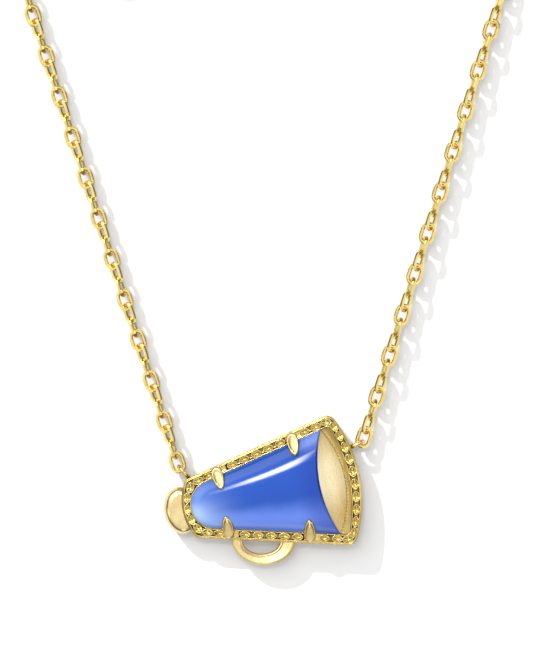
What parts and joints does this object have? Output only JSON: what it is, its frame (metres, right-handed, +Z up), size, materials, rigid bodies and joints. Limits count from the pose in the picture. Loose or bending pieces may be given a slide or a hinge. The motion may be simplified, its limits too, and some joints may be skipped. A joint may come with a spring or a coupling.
{
  "type": "megaphone pendant necklace",
  "caption": "Pendant in the shape of a cheer megaphone, with a blue cabochon held by prongs in a cupped gold band, on a cable chain that ends in a lobster clasp and a ring.",
  "frame": {"origin": "on the surface that the pendant lies on, under the middle of the megaphone's axis, at the flat back", "axes": "+Z up out of the surface and out of the stone, +X along the megaphone's axis from mouthpiece to mouth, +Y towards the chain"},
  "size_m": [0.0745, 0.0823, 0.0034],
  "materials": {
    "polished_gold": "polished",
    "satin_gold": "satin",
    "back_gold": "satin",
    "chain_gold": "polished",
    "blue_stone": "polished",
    "foil": "gloss",
    "spring_steel": "satin"
  },
  "bodies": {
    "pendant": {"prong_lower_left": "polished_gold", "prong_lower_right": "polished_gold", "prong_upper_left": "polished_gold", "prong_upper_right": "polished_gold", "back_plate": "back_gold", "frame": "polished_gold", "stone_carrier": "back_gold", "stone_foil": "foil", "stone": "blue_stone", "mouth_plate": "satin_gold", "mouth_rim": "polished_gold", "mouthpiece": "satin_gold", "handle": "satin_gold", "left_loop": "polished_gold", "right_loop": "polished_gold"},
    "left_end_link": {"left_end_link": "chain_gold"},
    "left_second_link": {"left_second_link": "chain_gold"},
    "left_strand": {"left_strand": "chain_gold"},
    "left_coil": {"left_coil": "chain_gold"},
    "left_ring": {"left_ring": "polished_gold"},
    "right_end_link": {"right_end_link": "chain_gold"},
    "right_second_link": {"right_second_link": "chain_gold"},
    "right_strand": {"right_strand": "chain_gold"},
    "right_coil": {"right_coil": "chain_gold"},
    "right_ring": {"right_ring": "polished_gold"},
    "clasp": {"clasp_body": "polished_gold", "clasp_spring": "spring_steel", "clasp_pin": "polished_gold"},
    "clasp_lever": {"clasp_lever": "polished_gold"},
    "end_ring": {"end_ring": "polished_gold"}
  },
  "joints": [
    {"name": "left_loop_swing", "type": "hinge", "parent": "pendant", "child": "left_end_link", "pos_m": [-0.00767, 0.00436, 0.0009], "axis": [0, 0, 1], "range_deg": [-20, 20]},
    {"name": "left_link_swing", "type": "hinge", "parent": "left_end_link", "child": "left_second_link", "pos_m": [-0.00778, 0.00525, 0.0009], "axis": [0, 0, 1], "range_deg": [-20, 20]},
    {"name": "left_strand_swing", "type": "hinge", "parent": "left_second_link", "child": "left_strand", "pos_m": [-0.00796, 0.00666, 0.0009], "axis": [0, 0, 1], "range_deg": [-15, 15]},
    {"name": "left_coil_swing", "type": "hinge", "parent": "left_strand", "child": "left_coil", "pos_m": [-0.01384, 0.05458, 0.0009], "axis": [0, 0, 1], "range_deg": [-10, 10]},
    {"name": "left_ring_lift", "type": "hinge", "parent": "left_coil", "child": "left_ring", "pos_m": [0.00046, 0.06638, 0.00112], "axis": [-0.5592, 0.829, 0], "range_deg": [0, 30]},
    {"name": "clasp_lift", "type": "hinge", "parent": "left_ring", "child": "clasp", "pos_m": [-0.00045, 0.06576, 0.0009], "axis": [-0.5592, 0.829, 0], "range_deg": [0, 30]},
    {"name": "lever_open", "type": "hinge", "parent": "clasp", "child": "clasp_lever", "pos_m": [-0.00345, 0.06476, 0.0009], "axis": [0, 0, 1], "range_deg": [0, 22], "stiffness_Nm_per_rad": 0.004, "springref_deg": -17.19},
    {"name": "right_loop_swing", "type": "hinge", "parent": "pendant", "child": "right_end_link", "pos_m": [0.01084, 0.00335, 0.0009], "axis": [0, 0, 1], "range_deg": [-20, 20]},
    {"name": "right_link_swing", "type": "hinge", "parent": "right_end_link", "child": "right_second_link", "pos_m": [0.01127, 0.00414, 0.0009], "axis": [0, 0, 1], "range_deg": [-20, 20]},
    {"name": "right_strand_swing", "type": "hinge", "parent": "right_second_link", "child": "right_strand", "pos_m": [0.01194, 0.00539, 0.0009], "axis": [0, 0, 1], "range_deg": [-15, 15]},
    {"name": "right_coil_swing", "type": "hinge", "parent": "right_strand", "child": "right_coil", "pos_m": [0.03475, 0.04794, 0.0009], "axis": [0, 0, 1], "range_deg": [-10, 10]},
    {"name": "right_ring_lift", "type": "hinge", "parent": "right_coil", "child": "right_ring", "pos_m": [0.0523, 0.04758, 0.00112], "axis": [0.0209, 0.9998, 0], "range_deg": [0, 30]},
    {"name": "end_ring_lift", "type": "hinge", "parent": "right_ring", "child": "end_ring", "pos_m": [0.0512, 0.0476, 0.0009], "axis": [0.0209, 0.9998, 0], "range_deg": [0, 30]}
  ]
}
